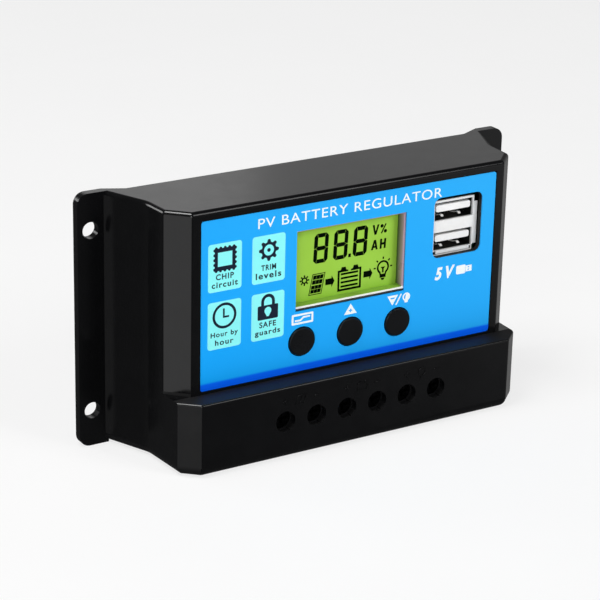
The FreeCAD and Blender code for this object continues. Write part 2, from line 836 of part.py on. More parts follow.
def main_board():
    board = box(-board_half, board_half, board_front, board_back,
                -half_height + board_from_bottom, half_height - board_from_top)
    cuts = [rod(x, z, post_radius + post_clearance, -far, far) for x, z in post_places()]
    cuts += [box(x if x > 0 else -far, far if x > 0 else x, -far, far,
                 z - post_radius - post_clearance, z + post_radius + post_clearance)
             for x, z in post_places()]
    cuts += [rod(x, z, board_screw_shank + hole_margin, -far, far) for x, z in boss_places()]
    thin = lcd_pin_places() + switch_leg_places() + usb_contact_places() + capacitor_lead_places()
    cuts += [rod(x, z, pin_radius + hole_margin, -far, far) for x, z in thin + crystal_lead_places()]
    cuts += [slab(x, z, lead_width + hole_margin, lead_thickness + hole_margin, -far, far)
             for x, z in transistor_lead_places()]
    cuts += [rod(x, z, shunt_radius + hole_margin, -far, far) for x, z in shunt_ends()]
    cuts += [slab(x + dx, bar_leg_z(), bar_pin + 2 * hole_margin, bar_thickness + 2 * hole_margin, -far, far)
             for x in pole_places for dx in (-bar_width / 4, bar_width / 4)]
    return board.cut(set_of(cuts)).removeSplitter()


def board_screws():
    return set_of([pan_screw(x, z, board_screw_shank, board_screw_head, board_screw_head_height,
                             board_back, board_screw_length) for x, z in boss_places()])


def heat_spreader():
    plate = slab(0, 0, 2 * spreader_half, spreader_height, spreader_front, -cover_thickness)
    holes = [rod(x, tab_hole_z(), tab_screw_shank + thread_gap, -far, far) for x in transistor_places]
    holes += [rod(x, spreader_screw_z, tab_screw_shank + thread_gap, -far, far)
              for x in (-spreader_screw_x, spreader_screw_x)]
    return plate.cut(set_of(holes))


def spreader_screws():
    return set_of([pan_screw(x, spreader_screw_z, tab_screw_shank, tab_screw_head, case_screw_head_height,
                             -head_sink, cover_thickness - head_sink + spreader_thickness)
                   for x in (-spreader_screw_x, spreader_screw_x)])


def thermal_pad():
    pad = slab(0, 0, 2 * (spreader_half - pad_margin), spreader_height - 2 * pad_margin,
               tab_face, spreader_front)
    return pad.cut(set_of([rod(x, tab_hole_z(), tab_hole, -far, far) for x in transistor_places]))


def tab_hole_z():
    return transistor_body_bottom + transistor_body + tab_hole_rise


def transistor_tabs():
    tabs = []
    for x in transistor_places:
        low = transistor_body_bottom + tab_foot
        high = transistor_body_bottom + transistor_body + tab_height
        tab = box(x - transistor_width / 2, x + transistor_width / 2,
                  tab_face - tab_thickness, tab_face, low, high)
        tabs.append(tab.cut(rod(x, tab_hole_z(), tab_hole, -far, far)))
    return set_of(tabs)


def transistor_bodies():
    bodies = []
    for x in transistor_places:
        low, high = transistor_body_bottom, transistor_body_bottom + transistor_body
        body = box(x - transistor_width / 2, x + transistor_width / 2, tab_face - transistor_thickness,
                   tab_face - tab_thickness, low, high)
        foot = box(x - transistor_width / 2, x + transistor_width / 2, tab_face - tab_thickness, tab_face,
                   low, low + tab_foot)
        bodies.append(joined([body, foot]))
    return set_of(bodies)


def transistor_leads():
    leads = []
    y = tab_face - lead_setback
    for x, z in transistor_lead_places():
        low = z - lead_thickness / 2
        drop = box(x - lead_width / 2, x + lead_width / 2, y - lead_thickness, y, low, transistor_body_bottom)
        reach = box(x - lead_width / 2, x + lead_width / 2, board_front - pin_stub, y,
                    low, low + lead_thickness)
        leads.append(joined([drop, reach]))
    return set_of(leads)


def tab_screws():
    """Screws through the transistor tabs, driven from the board side into the spreader."""
    screws = []
    for x in transistor_places:
        screw = pan_screw(x, tab_hole_z(), tab_screw_shank, tab_screw_head, tab_screw_head_height,
                          0, tab_thickness + pad_thickness + spreader_thickness)
        screw.rotate(V(x, 0, tab_hole_z()), V(0, 0, 1), 180)
        screw.translate(V(0, tab_face - tab_thickness, 0))
        screws.append(screw)
    return set_of(screws)


def shunt_wires():
    """Thick wire bridges that carry the load current on the back of the board."""
    wires = []
    y = board_back + shunt_rise
    for x in shunt_places:
        legs = [rod(x, shunt_z + dz, shunt_radius, board_front - pin_stub / 2, y)
                for dz in (-shunt_span / 2, shunt_span / 2)]
        bridge = upright(x, y, shunt_radius, shunt_z - shunt_span / 2, shunt_z + shunt_span / 2)
        elbows = [Part.makeSphere(shunt_radius, V(x, y, shunt_z + dz))
                  for dz in (-shunt_span / 2, shunt_span / 2)]
        wires.append(joined(legs + [bridge] + elbows))
    return set_of(wires)


# ---- what stands on the front of the board
def capacitor_cans():
    cans = []
    for x, drop in capacitor_places:
        z = half_height - drop
        top = board_front - capacitor_length
        can = rod(x, z, capacitor_radius, top, board_front - seal_height)
        rim = [e for e in can.Edges if e.Closed and abs(e.BoundBox.YMax - top) < 0.01]
        cans.append(can.makeFillet(can_round, rim))
    return set_of(cans)


def capacitor_seals():
    radius = capacitor_radius - seal_inset
    return set_of([rod(x, half_height - drop, radius, board_front - seal_height, board_front)
                   for x, drop in capacitor_places])


def inductor_core():
    x, drop = inductor_place
    z = half_height - drop
    top = board_front - inductor_height
    flanges = [rod(x, z, inductor_radius, top, top + inductor_flange),
               rod(x, z, inductor_radius, board_front - inductor_flange, board_front)]
    rims = [f.makeChamfer(inductor_chamfer, [e for e in f.Edges if e.Closed]) for f in flanges]
    neck = rod(x, z, inductor_neck, top + inductor_flange / 2, board_front - inductor_flange / 2)
    return joined(rims + [neck])


def inductor_winding():
    x, drop = inductor_place
    z = half_height - drop
    y0 = board_front - inductor_height + inductor_flange + part_gap
    y1 = board_front - inductor_flange - part_gap
    coil = rod(x, z, inductor_radius - winding_inset, y0, y1)
    return coil.cut(rod(x, z, inductor_neck + part_gap, -far, far))


def controller_chip():
    x, drop = chip_place
    z = half_height - drop
    chip = slab(x, z, chip_size, chip_size, board_front - chip_thickness, board_front - chip_standoff)
    reach = chip_size / 2 - chip_dot_inset
    return chip.cut(rod(x - reach, z + reach, chip_dot, -far, board_front - chip_thickness + chip_dot_depth))


def foot(x, z, along_x, sign, width, body_half):
    """One gull-wing pin, from the side of a chip down to the board."""
    reach = body_half + foot_length
    mid = (body_half + reach) / 2 * sign
    size = (foot_length, width) if along_x else (width, foot_length)
    return slab(x + (mid if along_x else 0), z + (0 if along_x else mid), size[0], size[1],
                board_front - foot_thickness, board_front)


def chip_pins():
    """The pins of the controller, on four sides, and of the converter, on two."""
    x, drop = chip_place
    z = half_height - drop
    pins = []
    for k in range(chip_pins_per_side):
        step = (k - (chip_pins_per_side - 1) / 2) * chip_pin_pitch
        for sign in (-1, 1):
            pins.append(foot(x, z + step, True, sign, chip_pin_width, chip_size / 2))
            pins.append(foot(x + step, z, False, sign, chip_pin_width, chip_size / 2))
    x, drop = converter_place
    for k in range(converter_pins_per_side):
        step = (k - (converter_pins_per_side - 1) / 2) * converter_pin_pitch
        for sign in (-1, 1):
            pins.append(foot(x, half_height - drop + step, True, sign, converter_pin_width,
                             converter_size[0] / 2))
    return set_of(pins)


def converter_chip():
    x, drop = converter_place
    width, height = converter_size
    return slab(x, half_height - drop, width, height,
                board_front - converter_thickness, board_front - chip_standoff)


def crystal():
    x, drop = crystal_place
    return rounded_slab(x, half_height - drop, crystal_length, crystal_width, crystal_round,
                        board_front - crystal_height, board_front)


def component_leads():
    """The wire leads of the capacitors and the crystal."""
    return set_of([rod(x, z, pin_radius, board_front, board_back + pin_stub)
                   for x, z in capacitor_lead_places() + crystal_lead_places()])


def diode_bodies():
    back = board_front - foot_thickness
    return set_of([slab(x, half_height - drop, diode_size[0], diode_size[1], board_front - diode_height, back)
                   for x, drop in diode_places])


def diode_tabs():
    tabs = []
    for x, drop in diode_places:
        for sign in (-1, 1):
            z = half_height - drop + sign * (diode_size[1] / 2)
            tabs.append(slab(x, z, diode_tab_width, diode_tab, board_front - foot_thickness, board_front))
    return set_of(tabs)


def small_parts(x, height):
    return set_of([slab(x, half_height - small_parts_from_top - k * small_parts_pitch, *small_part_size,
                        board_front - height, board_front) for k in range(small_parts_count)])


# ---- every node, by name
nodes = {
    "front_shell": front_shell(),
    "back_cover": back_cover(),
    "case_screws": case_screws(),
    "front_label": front_label(),
    "lcd_glass": lcd_glass(),
    "lcd_backlight": lcd_backlight(),
    "lcd_spacer": lcd_spacer(),
    "lcd_pins": lcd_pins(),
    "switch_bodies": switch_bodies(),
    "switch_plates": switch_plates(),
    "switch_domes": switch_domes(),
    "switch_legs": switch_legs(),
    "usb_shell": usb_shell(),
    "usb_insulator": usb_insulator(),
    "usb_contacts": usb_contacts(),
    "terminal_bars": terminal_bars(),
    "main_board": main_board(),
    "board_screws": board_screws(),
    "heat_spreader": heat_spreader(),
    "spreader_screws": spreader_screws(),
    "thermal_pad": thermal_pad(),
    "transistor_tabs": transistor_tabs(),
    "transistor_bodies": transistor_bodies(),
    "transistor_leads": transistor_leads(),
    "tab_screws": tab_screws(),
    "shunt_wires": shunt_wires(),
    "capacitor_cans": capacitor_cans(),
    "capacitor_seals": capacitor_seals(),
    "inductor_core": inductor_core(),
    "inductor_winding": inductor_winding(),
    "controller_chip": controller_chip(),
    "chip_pins": chip_pins(),
    "converter_chip": converter_chip(),
    "crystal": crystal(),
    "component_leads": component_leads(),
    "diode_bodies": diode_bodies(),
    "diode_tabs": diode_tabs(),
    "chip_resistors": small_parts(small_parts_x[0], resistor_height),
    "chip_capacitors": small_parts(small_parts_x[1], small_capacitor_height),
}
for k, name in enumerate(("left", "middle", "right")):
    nodes["terminal_block_" + name] = terminal_block(2 * k)
for name, x in zip(("menu", "up", "down"), button_places):
    nodes[name + "_button"] = button_cap(x)
    nodes[name + "_plunger"] = switch_plunger(x)
for k, x in enumerate(pole_places, 1):
    nodes["terminal_screw_%d" % k] = terminal_screw(x)
    nodes["clamp_cage_%d" % k] = clamp_cage(x)

os.makedirs("parts", exist_ok=True)
for name, shape in nodes.items():
    shape.exportStep("parts/%s.step" % name)
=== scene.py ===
"""The looks of a wall-mounted solar charge controller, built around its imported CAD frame.

Lengths are in millimetres until they reach Blender, which works in metres. X runs to the right, Z
up, and the front of the case faces -Y.
"""
import json
import math

import bmesh
import bpy
from mathutils import Matrix, Vector


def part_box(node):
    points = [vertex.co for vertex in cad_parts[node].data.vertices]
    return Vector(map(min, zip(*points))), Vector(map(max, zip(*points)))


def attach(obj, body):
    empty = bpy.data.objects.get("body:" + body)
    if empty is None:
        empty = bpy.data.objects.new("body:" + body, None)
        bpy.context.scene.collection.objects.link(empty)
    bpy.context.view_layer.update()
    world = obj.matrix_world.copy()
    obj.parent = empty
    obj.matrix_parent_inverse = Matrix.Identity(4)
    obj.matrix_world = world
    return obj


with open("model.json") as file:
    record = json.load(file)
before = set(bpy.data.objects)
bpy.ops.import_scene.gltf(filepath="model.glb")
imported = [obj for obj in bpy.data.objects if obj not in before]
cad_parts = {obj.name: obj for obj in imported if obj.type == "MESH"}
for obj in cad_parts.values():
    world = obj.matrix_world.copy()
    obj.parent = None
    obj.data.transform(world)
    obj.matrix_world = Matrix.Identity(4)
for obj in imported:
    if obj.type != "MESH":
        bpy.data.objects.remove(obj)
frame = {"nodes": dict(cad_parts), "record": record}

MM = 0.001
scene = bpy.context.scene
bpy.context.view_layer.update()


def node_box(name):
    """Lowest and highest corner of a CAD node, in millimetres."""
    low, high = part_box(name)
    return low / MM, high / MM


label_low, label_high = node_box("front_label")
shell_low, shell_high = node_box("front_shell")
glass_low, glass_high = node_box("lcd_glass")
usb_low, usb_high = node_box("usb_shell")

WINDOW_LEFT, WINDOW_RIGHT = -17.1, 16.9         # the display window
WINDOW_TOP, WINDOW_BOTTOM = 9.75, 31.25         # below the top of the case
window_low = (WINDOW_LEFT, shell_high.z - WINDOW_BOTTOM)
window_high = (WINDOW_RIGHT, shell_high.z - WINDOW_TOP)


# ---------------------------------------------------------------- materials
def add_node(tree, kind, inputs=None, **settings):
    """A shader node with its settings, and with each input either linked or set."""
    node = tree.nodes.new("ShaderNode" + kind)
    for key, value in settings.items():
        setattr(node, key, value)
    for key, value in (inputs or {}).items():
        if isinstance(value, bpy.types.NodeSocket):
            tree.links.new(value, node.inputs[key])
        else:
            node.inputs[key].default_value = value
    return node


class Nodes:
    """A short way to build a node material."""

    def __init__(self, name):
        self.material = bpy.data.materials.new(name)
        self.material.use_nodes = True
        self.tree = self.material.node_tree
        self.shader = self.tree.nodes["Principled BSDF"]
        self.place = self.tree.nodes.new("ShaderNodeTexCoord").outputs["Object"]

    def add(self, kind, inputs=None, **settings):
        return add_node(self.tree, kind, inputs, **settings)

    def math(self, operation, first, second):
        return self.add("Math", {0: first, 1: second}, operation=operation).outputs[0]

    def axes(self, vector):
        return self.add("SeparateXYZ", {"Vector": vector}).outputs

    def noise(self, grain, detail=3.0, stretch=None):
        """A noise whose features are about grain millimetres wide."""
        place = self.place
        if stretch:
            place = self.add("Mapping", {"Vector": place, "Scale": stretch}).outputs["Vector"]
        node = self.add("TexNoise", {"Vector": place, "Scale": 1.0 / (grain * MM), "Detail": detail,
                                     "Roughness": 0.55})
        return node.outputs["Fac"]

    def spread(self, value, low, high, start=0.3, end=0.7):
        """Maps a value that runs from start to end, as noise does from 0.3 to 0.7, to a range."""
        node = self.add("MapRange", {"Value": value, "From Min": start, "From Max": end,
                                     "To Min": low, "To Max": high})
        return node.outputs["Result"]

    def ramp(self, place, start, end, **settings):
        """0 to 1 between two places, in millimetres along one axis."""
        node = self.add("MapRange", {"Value": place, "From Min": start * MM, "From Max": end * MM},
                        **settings)
        return node.outputs["Result"]

    def within(self, value, low, high):
        """1 between the two limits and 0 outside them."""
        return self.math("MULTIPLY", self.math("GREATER_THAN", value, low),
                         self.math("LESS_THAN", value, high))

    def mix(self, factor, first, second):
        node = self.add("Mix", {"Factor": factor}, data_type="RGBA")
        for socket, value in ((node.inputs[6], first), (node.inputs[7], second)):
            if isinstance(value, bpy.types.NodeSocket):
                self.tree.links.new(value, socket)
            else:
                socket.default_value = (*value, 1.0)
        return node.outputs[2]

    def link(self, value, socket):
        self.tree.links.new(value, self.shader.inputs[socket])

    def bump(self, height, depth):
        """Bumps of a given depth in millimetres."""
        node = self.add("Bump", {"Height": height, "Distance": depth * MM})
        self.link(node.outputs["Normal"], "Normal")

    def patches(self, blotch, detail, first, second):
        """Soft patches of two tones as the base colour."""
        share = self.spread(self.noise(blotch, detail), 0, 1)
        self.link(self.mix(share, first, second), "Base Color")


def shade(color, amount):
    return tuple(min(1.0, channel * amount) for channel in color)


def plastic(name, color, rough, grain=0.5, depth=0.004, change=0.25, level=0.5):
    """Moulded plastic: a fine skin, slightly duller patches, and a slight change of tone."""
    n = Nodes(name)
    n.patches(9.0, 4.0, shade(color, 1 - change / 2), shade(color, 1 + change))
    n.link(n.spread(n.noise(5.4, 5.0), rough * 0.8, rough * 1.25), "Roughness")
    n.shader.inputs["Specular IOR Level"].default_value = level
    n.bump(n.noise(grain, 2.0), depth)
    return n


def case_material():
    """Glossy black moulding. It is dull on the ledge under the label, inside the socket opening and
    on the left corner of the terminal section."""
    n = Nodes("case_black")
    parts = n.axes(n.place)
    facing = n.axes(n.add("NewGeometry").outputs["Normal"])
    far = 1.0                    # metres, past any part of the case
    rim = 1.6                    # wall around the socket opening
    under_print = 0.02           # starts this far behind the label

    ledge = n.math("MULTIPLY", n.within(facing["Z"], 0.9, 2.0),
                   n.within(parts["Y"], -far, label_low.y * MM))
    socket = n.math("MULTIPLY",
                    n.math("MULTIPLY",
                           n.within(parts["X"], (usb_low.x - rim) * MM, (usb_high.x + rim) * MM),
                           n.within(parts["Z"], (usb_low.z - rim) * MM, (usb_high.z + rim) * MM)),
                    n.within(parts["Y"], (label_high.y + under_print) * MM, 0.0))
    corner = n.math("MULTIPLY", n.within(facing["X"], -0.9, -0.5),
                    n.within(parts["Z"], -far, label_low.z * MM))
    dull = n.math("MAXIMUM", n.math("MAXIMUM", ledge, socket), corner)
    n.patches(9.0, 4.0, (0.0025, 0.0026, 0.003), (0.0034, 0.0035, 0.004))
    gloss = n.spread(n.noise(5.4, 5.0), 0.14, 0.21)
    n.link(n.math("ADD", n.math("MULTIPLY", dull, 0.45), gloss), "Roughness")
    n.bump(n.noise(0.6, 2.0), 0.0025)
    return n


def metal(name, color, rough, stretch=None):
    """Plated or drawn metal, with fine marks that can be stretched into brushing."""
    n = Nodes(name)
    n.shader.inputs["Metallic"].default_value = 1.0
    n.patches(3.0, 4.0, shade(color, 0.88), shade(color, 1.06))
    n.link(n.spread(n.noise(0.4, 4.0, stretch), rough * 0.7, rough * 1.3), "Roughness")
    n.bump(n.noise(0.28, 3.0, stretch), 0.002)
    return n


def label_material():
    """Printed overlay: a blue with a painted sheen that lightens it to the top right, and painted
    shade that deepens it along its foot.
    """
    n = Nodes("label_blue")
    parts = n.axes(n.place)
    # Painted sheen: the blue gets lighter towards the top right, where the light falls on the
    # label.
    across = n.ramp(parts["X"], label_low.x, label_high.x)
    up = n.ramp(parts["Z"], label_low.z, label_high.z)
    half = n.math("MULTIPLY", n.math("ADD", across, up), 0.5)
    painted_sheen_blue = n.mix(half, (0.002, 0.385, 1.0), (0.026, 0.43, 0.96))
    # Painted shade: the blue is deeper along the foot of the label, just above the ledge.
    foot = n.ramp(parts["Z"], label_low.z + 1.5, label_low.z + 2.4, interpolation_type="SMOOTHSTEP")
    n.link(n.mix(foot, (0.0, 0.125, 0.97), painted_sheen_blue), "Base Color")
    n.link(n.spread(n.noise(6.0, 4.0), 0.3, 0.42), "Roughness")
    n.shader.inputs["Specular IOR Level"].default_value = 0.1
    n.bump(n.noise(0.35, 2.0), 0.002)
    return n


def lcd_material():
    """Reflective display: yellow-green with soft patches of tone, under satin glass."""
    n = Nodes("lcd_glass")
    n.patches(12.0, 2.0, (0.335, 0.62, 0.055), (0.365, 0.68, 0.07))
    n.link(n.spread(n.noise(5.0), 0.16, 0.26), "Roughness")
    n.shader.inputs["Specular IOR Level"].default_value = 0.4
    n.bump(n.noise(0.2, 2.0), 0.0008)
    return n


def liner_material():
    """Liner of the display window, coloured all in painted light: a white painted highlight along
    the front edge of its bottom wall, a painted reflection that runs from pink to green down its
    sides, and green on its bottom wall as a painted reflection of the display."""
    n = Nodes("painted_light_liner")
    parts = n.axes(n.place)
    above_sill = n.ramp(parts["Z"], window_low[1] + 0.49, window_low[1] + 0.7)
    # Painted reflection: the sides run from pink near the front to green deeper in.
    sunk = n.ramp(parts["Y"], label_high.y + 0.4, glass_low.y - 0.3)
    side = n.mix(sunk, (0.5, 0.33, 0.43), (0.05, 0.1, 0.02))
    # Painted highlight: white along the front edge of the bottom wall, with a green painted
    # reflection of the display behind it.
    behind_edge = n.ramp(parts["Y"], label_high.y + 0.3, label_high.y + 0.4)
    sill_glint_and_reflection = n.mix(behind_edge, (0.95, 0.95, 0.97),
                 n.mix(n.noise(3.0), (0.27, 0.5, 0.05), (0.31, 0.56, 0.06)))
    n.link(n.mix(above_sill, sill_glint_and_reflection, side), "Base Color")
    n.link(n.spread(n.noise(4.0), 0.25, 0.4), "Roughness")
    n.bump(n.noise(0.4, 2.0), 0.001)
    return n


def board_material():
    """Green solder mask over copper tracks, which show as slightly raised, lighter paths."""
    n = Nodes("board_green")
    cells = n.add("TexVoronoi", {"Vector": n.place, "Scale": 260.0},
                  feature="DISTANCE_TO_EDGE", distance="MANHATTAN")
    tracks = n.spread(cells.outputs["Distance"], 1.0, 0.0, start=0.05, end=0.07)
    n.link(n.mix(tracks, (0.008, 0.09, 0.03), (0.02, 0.2, 0.06)), "Base Color")
    n.link(n.spread(n.noise(4.0), 0.28, 0.4), "Roughness")
    n.bump(tracks, 0.03)
    return n


def winding_material():
    """Enamelled copper wire wound in turns that follow the coil's axis."""
    n = Nodes("copper_wire")
    n.shader.inputs["Metallic"].default_value = 1.0
    turns = n.add("TexWave", {"Vector": n.place, "Scale": 330.0, "Distortion": 0.4},
                  bands_direction="Y").outputs["Fac"]
    n.link(n.mix(turns, (0.25, 0.07, 0.02), (0.8, 0.35, 0.15)), "Base Color")
    n.link(n.spread(n.noise(2.0), 0.2, 0.35), "Roughness")
    n.bump(turns, 0.2)
    return n


def socket_material():
    """Plated sheet, drawn near white on a nearly non-metallic shader, partly the plating's own pale
    colour and partly painted reflection; its inside, behind the front edges, is painted shade.
    """
    n = Nodes("nickel")
    # Painted shade: the plating turns near black behind the front edges of the ports.
    inside = n.ramp(n.axes(n.place)["Y"], usb_low.y + 0.35, usb_low.y + 0.9)
    # Partly painted reflection: the plating is drawn near white, and set nearly non-metallic
    # further down.
    sheet = n.mix(n.spread(n.noise(2.5, 4.0), 0, 1), (0.95, 0.95, 0.94), (1.0, 1.0, 0.99))
    n.link(n.mix(inside, sheet, (0.004, 0.004, 0.004)), "Base Color")
    n.link(n.spread(inside, 0.38, 0.5, start=0, end=1), "Roughness")
    n.shader.inputs["Metallic"].default_value = 0.08
    n.bump(n.noise(0.3), 0.002)
    return n


surfaces = {
    "case_black": case_material(),
    "cover_black": plastic("cover_black", (0.018, 0.018, 0.019), 0.4, grain=0.4, depth=0.03,
                           level=0.45),
    "label_blue": label_material(),
    "lcd_glass": lcd_material(),
    "backlight": plastic("backlight", (0.75, 0.85, 0.5), 0.4),
    "white_nylon": plastic("white_nylon", (0.95, 0.95, 0.94), 0.38, change=0.04),
    "tinned_pin": metal("tinned_pin", (0.78, 0.78, 0.77), 0.3),
    "switch_black": plastic("switch_black", (0.012, 0.012, 0.012), 0.45),
    "nickel": socket_material(),
    "gold_contact": metal("gold_contact", (0.95, 0.68, 0.28), 0.18),
    "tinned_brass": metal("tinned_brass", (0.8, 0.76, 0.66), 0.3),
    "board_green": board_material(),
    "screw_steel": metal("screw_steel", (0.12, 0.12, 0.125), 0.3),
    "aluminium_plate": metal("aluminium_plate", (0.75, 0.76, 0.77), 0.32, stretch=(1.0, 1.0, 12.0)),
    "thermal_pad": plastic("thermal_pad", (0.35, 0.38, 0.42), 0.7, grain=0.3, depth=0.02),
    "tinned_copper": metal("tinned_copper", (0.82, 0.8, 0.76), 0.28),
    "epoxy_black": plastic("epoxy_black", (0.012, 0.012, 0.013), 0.5, grain=0.15, depth=0.01),
    "aluminium_can": metal("aluminium_can", (0.7, 0.72, 0.75), 0.25),
    "black_rubber": plastic("black_rubber", (0.012, 0.012, 0.012), 0.7, grain=0.3, depth=0.02),
    "ferrite": plastic("ferrite", (0.03, 0.03, 0.033), 0.6, grain=0.15, depth=0.03),
    "copper_wire": winding_material(),
    "chip_ceramic": plastic("chip_ceramic", (0.28, 0.2, 0.13), 0.45),
    "block_black": plastic("block_black", (0.013, 0.013, 0.014), 0.4),
    "button_black": plastic("button_black", (0.004, 0.0045, 0.0055), 0.3, grain=0.4, depth=0.003,
                            level=0.3),
    # Painted shade: the terminal screws are drawn near black, as the shade deep in their holes.
    "terminal_steel": metal("terminal_steel", (0.016, 0.016, 0.018), 0.3),
    "cage_steel": metal("cage_steel", (0.7, 0.7, 0.68), 0.3, stretch=(1.0, 8.0, 1.0)),
}
white_ink = plastic("white_ink", (0.9, 0.97, 1.0), 0.4, grain=0.2, depth=0.001, change=0.03)
tile_ink = plastic("tile_ink", (0.26, 0.96, 0.98), 0.4, grain=0.2, depth=0.001, change=0.04)
dark_ink = plastic("dark_ink", (0.004, 0.01, 0.03), 0.42, grain=0.2, depth=0.001)
segment_ink = plastic("segment_ink", (0.001, 0.004, 0.0005), 0.7, grain=0.2, depth=0.001,
                      level=0.03)
# Painted glint: the steel springs are drawn near white so that their tips show as bright specks
# inside the ports.
spring_painted_glint = plastic("spring_painted_glint", (0.95, 0.95, 0.93), 0.3, grain=0.3, depth=0.001,
                       change=0.05, level=1.0)
painted_light_liner = liner_material()

slot_of = {entry["node"]: entry["material_slot"] for entry in frame["record"]["subparts"]}
for name, node in frame["nodes"].items():
    for place in node.material_slots:
        place.link = "OBJECT"
        place.material = surfaces[slot_of[name]].material


# ---------------------------------------------------------------- printed shapes
def around(x, z, radius, angle):
    """The point at an angle, in degrees, around a centre."""
    turn = math.radians(angle)
    return (x + radius * math.cos(turn), z + radius * math.sin(turn))


def circle(x, z, radius, steps=48):
    return [around(x, z, radius, 360 * k / steps) for k in range(steps)]


def arc(x, z, radius, start, end, steps=16):
    return [around(x, z, radius, start + (end - start) * k / steps) for k in range(steps + 1)]


def rectangle(x0, z0, x1, z1):
    return [(x0, z0), (x1, z0), (x1, z1), (x0, z1)]


def rounded(x0, z0, x1, z1, radius):
    corners = ((x1 - radius, z1 - radius, 0), (x0 + radius, z1 - radius, 90),
               (x0 + radius, z0 + radius, 180), (x1 - radius, z0 + radius, 270))
    points = []
    for x, z, turn in corners:
        points += arc(x, z, radius, turn, turn + 90, 6)
    return points


def bar(x0, z0, x1, z1, width):
    """A straight stroke between two points."""
    along = Vector((x1 - x0, z1 - z0)).normalized() * (width / 2)
    side = Vector((-along.y, along.x))
    return [(x0 + side.x, z0 + side.y), (x0 - side.x, z0 - side.y),
            (x1 - side.x, z1 - side.y), (x1 + side.x, z1 + side.y)]


def spokes(x, z, inner, outer, width, angles):
    """Short rays around a centre."""
    return [bar(*around(x, z, inner, angle), *around(x, z, outer, angle), width)
            for angle in angles]


def moved(points, x, z):
    return [(x + px, z + pz) for px, pz in points]


def cross(arm, half):
    """A plus sign around the origin, from the length of an arm and half its width."""
    return [(half, half), (half, arm), (-half, arm), (-half, half), (-arm, half), (-arm, -half),
            (-half, -half), (-half, -arm), (half, -arm), (half, -half), (arm, -half), (arm, half)]


def leaning(points, foot, lean):
    """The points pushed to the right in proportion to their height over foot."""
    return [(x + (z - foot) * lean, z) for x, z in points]


def finished(work, mesh):
    """Writes the work to the mesh, with its faces turned outwards."""
    bmesh.ops.recalc_face_normals(work, faces=work.faces)
    work.to_mesh(mesh)
    work.free()
    return mesh


def sleeve(work, loops):
    """Faces between each loop of four corners and the next."""
    for a, b in loops:
        for k in range(4):
            work.faces.new((a[k], a[(k + 1) % 4], b[(k + 1) % 4], b[k]))


def solid_from_curve(curve, name, y, rise):
    """Turns a filled flat curve into a closed thin solid standing rise in front of the plane y."""
    holder = bpy.data.objects.new(name, curve)
    scene.collection.objects.link(holder)
    bpy.context.view_layer.update()
    filled = holder.evaluated_get(bpy.context.evaluated_depsgraph_get())
    mesh = bpy.data.meshes.new_from_object(filled)
    bpy.data.objects.remove(holder)
    upright = Matrix.Rotation(math.pi / 2, 4, "X")
    mesh.transform(Matrix.Translation((0, (y - rise / 2) * MM, 0)) @ upright)
    work = bmesh.new()
    work.from_mesh(mesh)
    bmesh.ops.remove_doubles(work, verts=work.verts, dist=1e-7)
    return finished(work, mesh)


def shape_mesh(name, loops, y, rise):
    """A thin solid from closed loops of (x, z) points. A loop inside another is a hole."""
    curve = bpy.data.curves.new(name, "CURVE")
    curve.dimensions = "2D"
    curve.fill_mode = "BOTH"
    curve.extrude = rise / 2 * MM
    for loop in loops:
        spline = curve.splines.new("POLY")
        spline.points.add(len(loop) - 1)
        for point, (x, z) in zip(spline.points, loop):
            point.co = (x * MM, z * MM, 0, 1)
        spline.use_cyclic_u = True
    return solid_from_curve(curve, name, y, rise)


def text_mesh(name, words, y, rise, x0, z0, x1, z1, weight=0.0, spacing=1.0):
    """Letters stretched to fill the box from (x0, z0) to (x1, z1)."""
    curve = bpy.data.curves.new(name, "FONT")
    curve.body = words
    curve.size = 10 * MM
    curve.space_character = spacing
    curve.offset = weight * MM
    curve.extrude = rise / 2 * MM
    mesh = solid_from_curve(curve, name, y, rise)
    xs = [v.co.x for v in mesh.vertices]
    zs = [v.co.z for v in mesh.vertices]
    wide = (x1 - x0) * MM / (max(xs) - min(xs))
    tall = (z1 - z0) * MM / (max(zs) - min(zs))
    for v in mesh.vertices:
        v.co.x = x0 * MM + (v.co.x - min(xs)) * wide
        v.co.z = z0 * MM + (v.co.z - min(zs)) * tall
    return mesh


def piece(name, meshes, ink, body="housing"):
    """Joins meshes into one named piece, which rides on a body."""
    work = bmesh.new()
    for mesh in meshes:
        work.from_mesh(mesh)
    whole = bpy.data.meshes.new(name)
    work.to_mesh(whole)
    work.free()
    whole.materials.append(ink.material)
    thing = bpy.data.objects.new(name, whole)
    scene.collection.objects.link(thing)
    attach(thing, body)


INK = 0.03                   # thickness of one printed layer
label_front = label_low.y
tile_front = label_front - INK


# ---------------------------------------------------------------- label: title and tiles
TITLE_HALF = 28.4            # half the width of the title
TITLE_TOP = 1.8              # below the top of the label
TITLE_FOOT = 4.5
TITLE_SHIFT = -0.55          # from the middle of the label


def title():
    middle = (label_low.x + label_high.x) / 2 + TITLE_SHIFT
    words = text_mesh("title", "PV BATTERY REGULATOR", label_front, INK,
                      middle - TITLE_HALF, label_high.z - TITLE_FOOT,
                      middle + TITLE_HALF, label_high.z - TITLE_TOP, weight=0.015, spacing=1.1)
    piece("title_print", [words], white_ink)


TILE_WIDTH = 9.8
TILE_HEIGHT = 12.9
TILE_CORNER = 0.8
TILE_STEP_X = 12.9
TILE_STEP_Z = 15.65
tile_left = label_low.x + 2.0
tile_top = label_high.z - 6.5


def chip_icon(x, z):
    """A square ring with five round contacts on each side."""
    half, bump, count = 3.0, 0.42, 5
    step = (2 * half - 2 * bump) / (count - 1)
    outline = []
    for side in range(4):
        turn = math.radians(90 * side)
        for k in range(count):
            place = -half + bump + step * k
            for px, pz in arc(place, -half, bump, 180, 360, 6):
                outline.append((x + px * math.cos(turn) - pz * math.sin(turn),
                                z + px * math.sin(turn) + pz * math.cos(turn)))
    return [outline, rectangle(x - 2.1, z - 1.9, x + 2.1, z + 1.9)]


